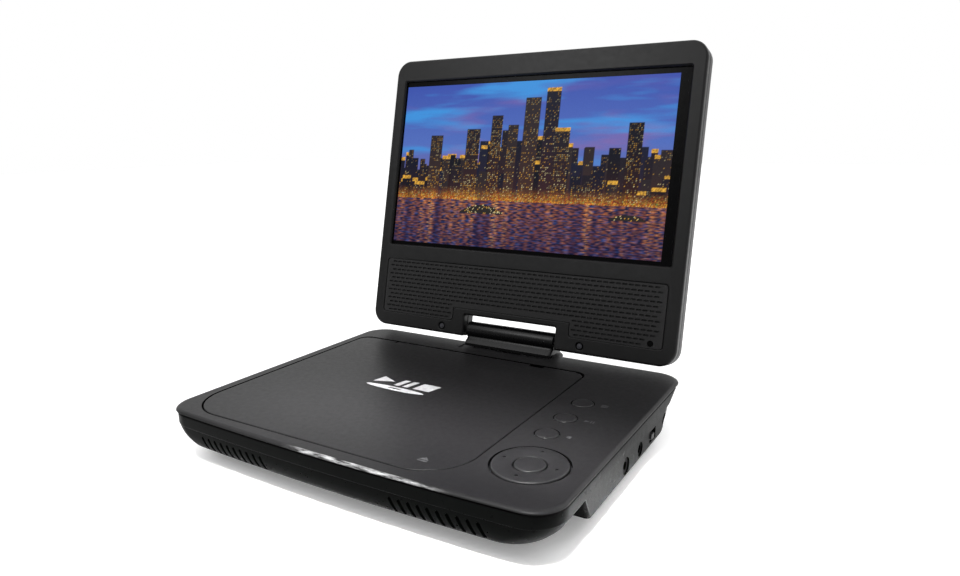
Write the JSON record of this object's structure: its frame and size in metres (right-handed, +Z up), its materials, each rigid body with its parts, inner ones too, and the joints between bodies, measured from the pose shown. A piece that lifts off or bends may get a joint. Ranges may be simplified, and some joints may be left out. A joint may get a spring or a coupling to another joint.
{
  "type": "portable disc player",
  "caption": "Portable disc player: a thin case with a flush disc lid, round keys and side sockets, and a screen that swivels and tilts on a central hinge.",
  "frame": {"origin": "on the surface the player stands on, under the middle of its bounding box with the screen open as in the picture", "axes": "+X to the right as seen from the front, -Y towards the front, +Y towards the screen, +Z up"},
  "size_m": [0.1942, 0.1957, 0.1872],
  "materials": {
    "case_black": "satin",
    "deck_black": "satin",
    "bezel_black": "satin",
    "key_black": "satin",
    "drive_steel": "brushed",
    "bright_steel": "polished",
    "drive_plastic": "matte",
    "rubber": "matte",
    "silicone": "matte",
    "board_green": "satin",
    "socket_black": "gloss",
    "pack_blue": "gloss",
    "lens_clear": "polished",
    "panel_glass": "semi-gloss"
  },
  "bodies": {
    "base": {"base_lower_case": "case_black", "base_upper_case": "deck_black", "battery_pack": "pack_blue", "main_board": "board_green", "key_board": "board_green", "key_mat": "silicone", "foot_front_left": "rubber", "foot_front_right": "rubber", "foot_rear_left": "rubber", "foot_rear_right": "rubber", "case_screw_front_left": "bright_steel", "case_screw_front_right": "bright_steel", "case_screw_rear_left": "bright_steel", "case_screw_rear_right": "bright_steel", "drive_chassis": "drive_steel", "spindle_motor": "drive_steel", "guide_rod_front": "bright_steel", "guide_rod_rear": "bright_steel", "feed_motor": "drive_steel", "headphone_socket": "socket_black", "av_socket": "socket_black", "dc_inlet": "socket_black", "power_switch_body": "socket_black", "swivel_plate": "drive_steel"},
    "disc_lid": {"disc_lid": "deck_black", "disc_lid_pin_left": "bright_steel", "disc_lid_pin_right": "bright_steel"},
    "disc_latch": {"disc_latch": "drive_plastic"},
    "spindle": {"spindle_hub": "drive_plastic", "spindle_rotor": "drive_steel"},
    "pickup": {"pickup_sled": "drive_plastic", "pickup_lens": "lens_clear"},
    "feed_screw": {"feed_screw": "bright_steel"},
    "nav_ring": {"nav_ring": "key_black"},
    "centre_button": {"centre_button": "key_black"},
    "round_button_front": {"round_button_front": "key_black"},
    "round_button_middle": {"round_button_middle": "key_black"},
    "round_button_rear": {"round_button_rear": "key_black"},
    "power_switch": {"power_switch_slider": "key_black"},
    "swivel": {"swivel_head": "case_black", "swivel_post": "bright_steel", "swivel_nut": "bright_steel", "swivel_washer": "bright_steel"},
    "screen": {"screen_bezel": "bezel_black", "screen_back_cover": "case_black", "speaker_grille": "bezel_black", "lcd_panel": "panel_glass", "lcd_backlight": "drive_steel", "screen_board": "board_green", "speaker_left": "drive_plastic", "speaker_right": "drive_plastic", "remote_eye": "socket_black", "bezel_screw_left": "bright_steel", "bezel_screw_right": "bright_steel", "hinge_bracket_left": "drive_steel", "hinge_bracket_right": "drive_steel", "hinge_pin_left": "bright_steel", "hinge_pin_right": "bright_steel"}
  },
  "joints": [
    {"name": "screen_swivel", "type": "hinge", "parent": "base", "child": "swivel", "pos_m": [0, 0.05758, 0.03186], "axis": [0, 0, 1], "range_deg": [0, 180]},
    {"name": "screen_tilt", "type": "hinge", "parent": "swivel", "child": "screen", "pos_m": [0, 0.05758, 0.03186], "axis": [1, 0, 0], "range_deg": [-77.2, 102.8]},
    {"name": "disc_lid_hinge", "type": "hinge", "parent": "base", "child": "disc_lid", "pos_m": [0, 0.03733, 0.0226], "axis": [-1, 0, 0], "range_deg": [0, 65]},
    {"name": "disc_latch_slide", "type": "slide", "parent": "base", "child": "disc_latch", "axis": [0, 1, 0], "range_m": [0, 0.0015], "stiffness_N_per_m": 300, "springref_m": -0.0005},
    {"name": "spindle_spin", "type": "hinge", "parent": "base", "child": "spindle", "pos_m": [-0.0185, -0.02787, 0], "axis": [0, 0, 1], "continuous": true},
    {"name": "pickup_feed", "type": "slide", "parent": "base", "child": "pickup", "axis": [1, 0, 0], "range_m": [0, 0.033]},
    {"name": "feed_screw_spin", "type": "hinge", "parent": "base", "child": "feed_screw", "pos_m": [0.0242, -0.05337, 0.0098], "axis": [1, 0, 0], "range_deg": [0, 2975]},
    {"name": "nav_ring_rock", "type": "hinge", "parent": "base", "child": "nav_ring", "pos_m": [0.0736, -0.06507, 0.0209], "axis": [1, 0, 0], "range_deg": [-2.5, 2.5], "stiffness_Nm_per_rad": 0.25},
    {"name": "centre_button_press", "type": "slide", "parent": "base", "child": "centre_button", "axis": [0, 0, -1], "range_m": [0, 0.0005], "stiffness_N_per_m": 600, "springref_m": -0.0002},
    {"name": "round_button_front_press", "type": "slide", "parent": "base", "child": "round_button_front", "axis": [0, 0, -1], "range_m": [0, 0.0005], "stiffness_N_per_m": 600, "springref_m": -0.0002},
    {"name": "round_button_middle_press", "type": "slide", "parent": "base", "child": "round_button_middle", "axis": [0, 0, -1], "range_m": [0, 0.0005], "stiffness_N_per_m": 600, "springref_m": -0.0002},
    {"name": "round_button_rear_press", "type": "slide", "parent": "base", "child": "round_button_rear", "axis": [0, 0, -1], "range_m": [0, 0.0005], "stiffness_N_per_m": 600, "springref_m": -0.0002},
    {"name": "power_switch_slide", "type": "slide", "parent": "base", "child": "power_switch", "axis": [0, 1, 0], "range_m": [0, 0.0028]}
  ],
  "couplings": [
    {"joint": "feed_screw_spin", "follows": "pickup_feed", "rad_per_m": 1570.8}
  ]
}
